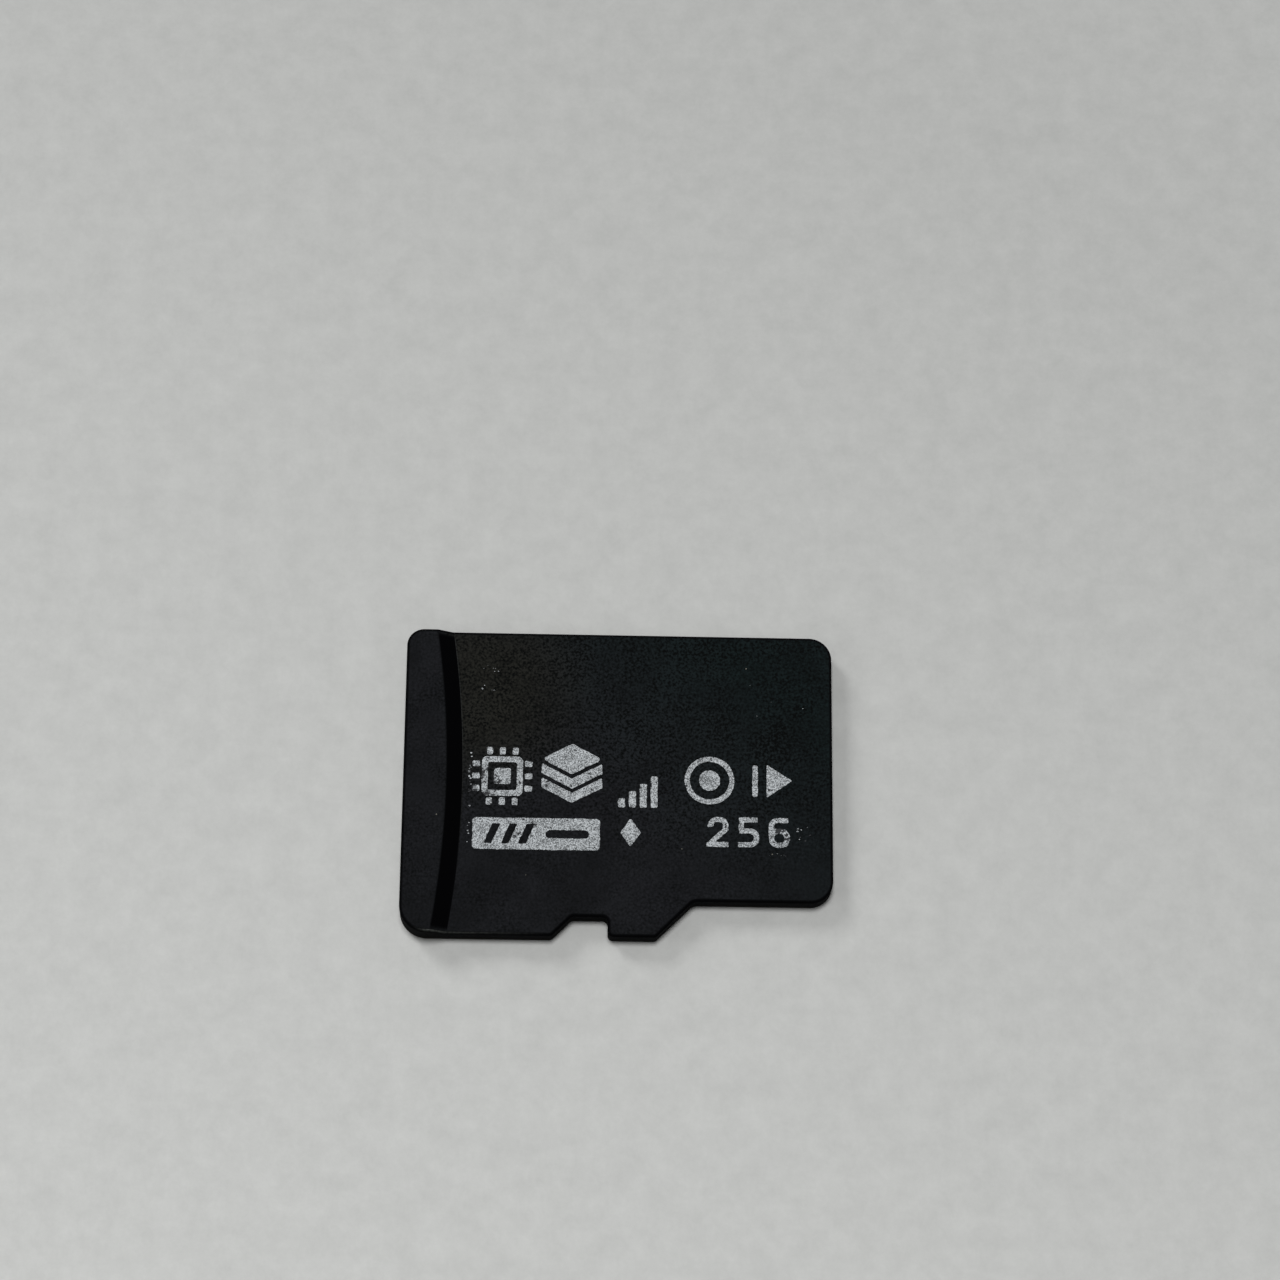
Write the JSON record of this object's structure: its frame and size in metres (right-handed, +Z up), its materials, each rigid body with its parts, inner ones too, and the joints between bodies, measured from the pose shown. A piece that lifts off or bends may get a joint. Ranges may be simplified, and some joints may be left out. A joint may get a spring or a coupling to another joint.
{
  "type": "removable flash memory card",
  "caption": "Thumbnail-sized flash memory card: dark moulded plate with a thumb rib, side latch notch, angled shoulder and gold edge contacts underneath.",
  "frame": {"origin": "under the middle of the card's outline box, on the face with the contacts", "axes": "+X towards the contact edge that goes into the socket first, +Y towards the straight long side, +Z up through the printed face"},
  "size_m": [0.015, 0.011, 0.001],
  "materials": {
    "mould_compound": "matte, fine-grained black epoxy moulding compound",
    "solder_mask_board": "semi-gloss black solder mask over a glass-epoxy board",
    "gold_contact": "hard gold plate over nickel and copper",
    "silicon": "polished silicon",
    "die_attach_film": "cured adhesive film",
    "gold_wire": "drawn gold wire",
    "chip_ceramic": "fired ceramic",
    "resistor_coat": "black glass overcoat on alumina",
    "tinned_end": "matte tin plate",
    "solder": "reflowed solder"
  },
  "bodies": {
    "root": {"mould_body": "mould_compound", "board": "solder_mask_board", "contact_1": "gold_contact", "contact_2": "gold_contact", "contact_3": "gold_contact", "contact_4": "gold_contact", "contact_5": "gold_contact", "contact_6": "gold_contact", "contact_7": "gold_contact", "contact_8": "gold_contact", "flash_die": "silicon", "flash_film": "die_attach_film", "flash_bond_wires": "gold_wire", "flash_bond_fingers": "gold_contact", "controller_die": "silicon", "controller_film": "die_attach_film", "controller_bond_wires": "gold_wire", "controller_bond_fingers": "gold_contact", "capacitor_1": "chip_ceramic", "capacitor_2": "chip_ceramic", "capacitor_3": "chip_ceramic", "resistor": "resistor_coat", "chip_end_caps": "tinned_end", "solder_joints": "solder"}
  },
  "joints": []
}
